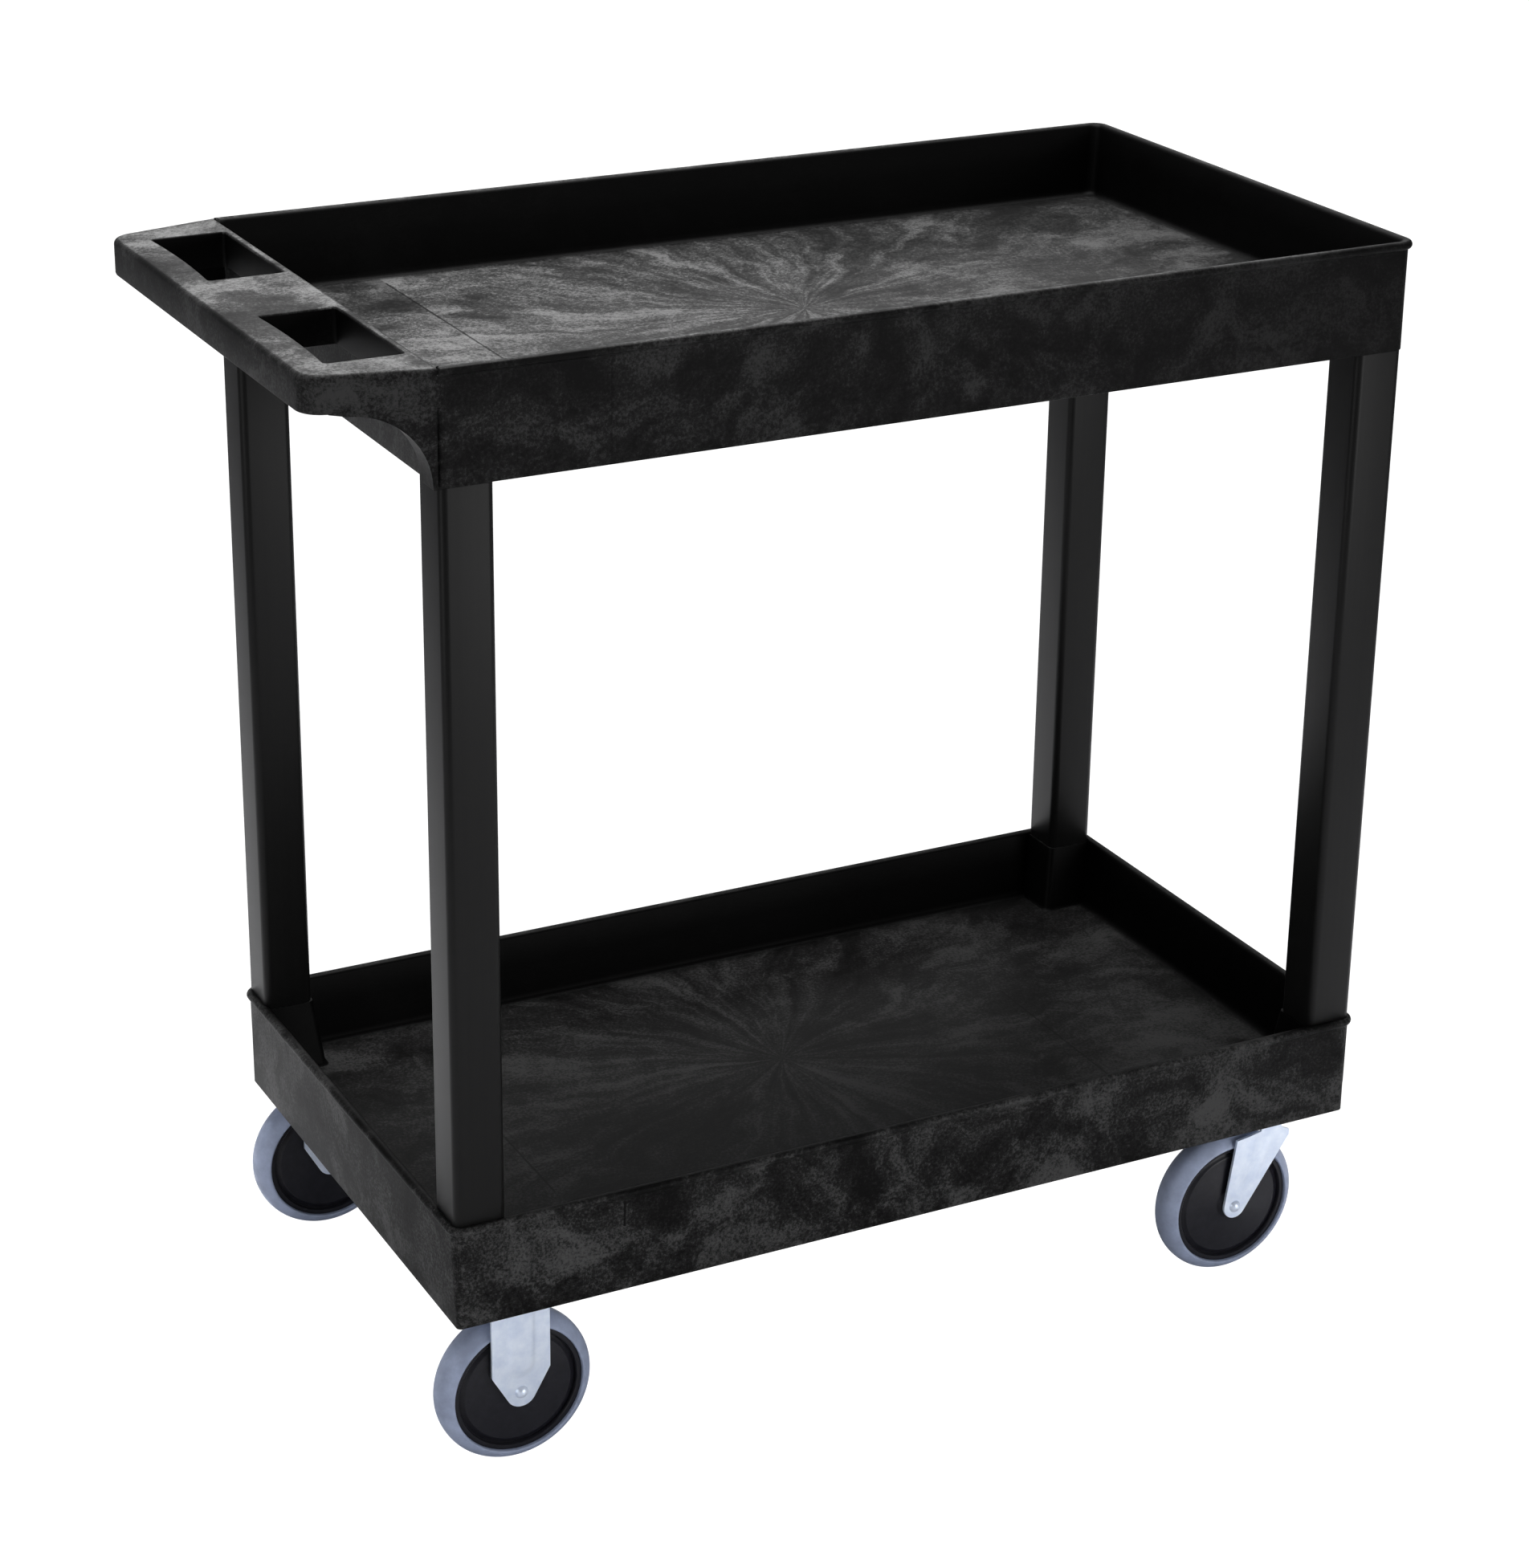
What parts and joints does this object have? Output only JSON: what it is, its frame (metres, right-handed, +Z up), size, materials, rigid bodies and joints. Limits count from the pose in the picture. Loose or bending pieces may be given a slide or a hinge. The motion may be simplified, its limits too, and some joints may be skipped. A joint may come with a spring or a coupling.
{
  "type": "food service trolley",
  "caption": "Two-tier service cart with deep moulded tub shelves on square legs, a hand hold moulded into the upper tub, rigid casters below it and swivel casters at the far end.",
  "frame": {"origin": "on the floor, under the middle of the whole trolley's length and width", "axes": "+X from the hand hold towards the swivel end, +Y to the rear side, +Z up"},
  "size_m": [0.899, 0.457, 0.8815],
  "materials": {
    "structural_foam": "moulded structural-foam polyethylene, charcoal with pale flow streaks",
    "leg_plastic": "smooth extruded plastic, dark charcoal",
    "zinc_steel": "bright zinc-plated pressed steel",
    "ball_steel": "polished bearing balls",
    "core_plastic": "moulded polypropylene, near black, slight sheen",
    "tyre_rubber": "smooth bluish grey thermoplastic rubber"
  },
  "bodies": {
    "root": {"upper_tub": "structural_foam", "lower_tub": "structural_foam", "leg_handle_front": "leg_plastic", "leg_handle_rear": "leg_plastic", "leg_far_front": "leg_plastic", "leg_far_rear": "leg_plastic", "caster_screws": "zinc_steel", "rigid_front_fork": "zinc_steel", "rigid_front_axle": "zinc_steel", "rigid_front_nut": "zinc_steel", "rigid_front_sleeve": "zinc_steel", "swivel_front_plate": "zinc_steel", "swivel_front_kingpin": "zinc_steel", "rigid_rear_fork": "zinc_steel", "rigid_rear_axle": "zinc_steel", "rigid_rear_nut": "zinc_steel", "rigid_rear_sleeve": "zinc_steel", "swivel_rear_plate": "zinc_steel", "swivel_rear_kingpin": "zinc_steel"},
    "rigid_front_wheel": {"rigid_front_core": "core_plastic", "rigid_front_tyre": "tyre_rubber"},
    "swivel_front": {"swivel_front_yoke": "zinc_steel", "swivel_front_balls": "ball_steel", "swivel_front_axle": "zinc_steel", "swivel_front_nut": "zinc_steel", "swivel_front_sleeve": "zinc_steel"},
    "swivel_front_wheel": {"swivel_front_core": "core_plastic", "swivel_front_tyre": "tyre_rubber"},
    "rigid_rear_wheel": {"rigid_rear_core": "core_plastic", "rigid_rear_tyre": "tyre_rubber"},
    "swivel_rear": {"swivel_rear_yoke": "zinc_steel", "swivel_rear_balls": "ball_steel", "swivel_rear_axle": "zinc_steel", "swivel_rear_nut": "zinc_steel", "swivel_rear_sleeve": "zinc_steel"},
    "swivel_rear_wheel": {"swivel_rear_core": "core_plastic", "swivel_rear_tyre": "tyre_rubber"}
  },
  "joints": [
    {"name": "rigid_front_wheel_spin", "type": "hinge", "parent": "root", "child": "rigid_front_wheel", "pos_m": [-0.3055, -0.2005, 0.0635], "axis": [0, 1, 0], "continuous": true},
    {"name": "swivel_front_turn", "type": "hinge", "parent": "root", "child": "swivel_front", "pos_m": [0.3765, -0.2005, 0.13], "axis": [0, 0, 1], "continuous": true},
    {"name": "swivel_front_wheel_spin", "type": "hinge", "parent": "swivel_front", "child": "swivel_front_wheel", "pos_m": [0.3445, -0.2005, 0.0635], "axis": [0, 1, 0], "continuous": true},
    {"name": "rigid_rear_wheel_spin", "type": "hinge", "parent": "root", "child": "rigid_rear_wheel", "pos_m": [-0.3055, 0.2005, 0.0635], "axis": [0, 1, 0], "continuous": true},
    {"name": "swivel_rear_turn", "type": "hinge", "parent": "root", "child": "swivel_rear", "pos_m": [0.3765, 0.2005, 0.13], "axis": [0, 0, 1], "continuous": true},
    {"name": "swivel_rear_wheel_spin", "type": "hinge", "parent": "swivel_rear", "child": "swivel_rear_wheel", "pos_m": [0.3445, 0.2005, 0.0635], "axis": [0, 1, 0], "continuous": true}
  ]
}
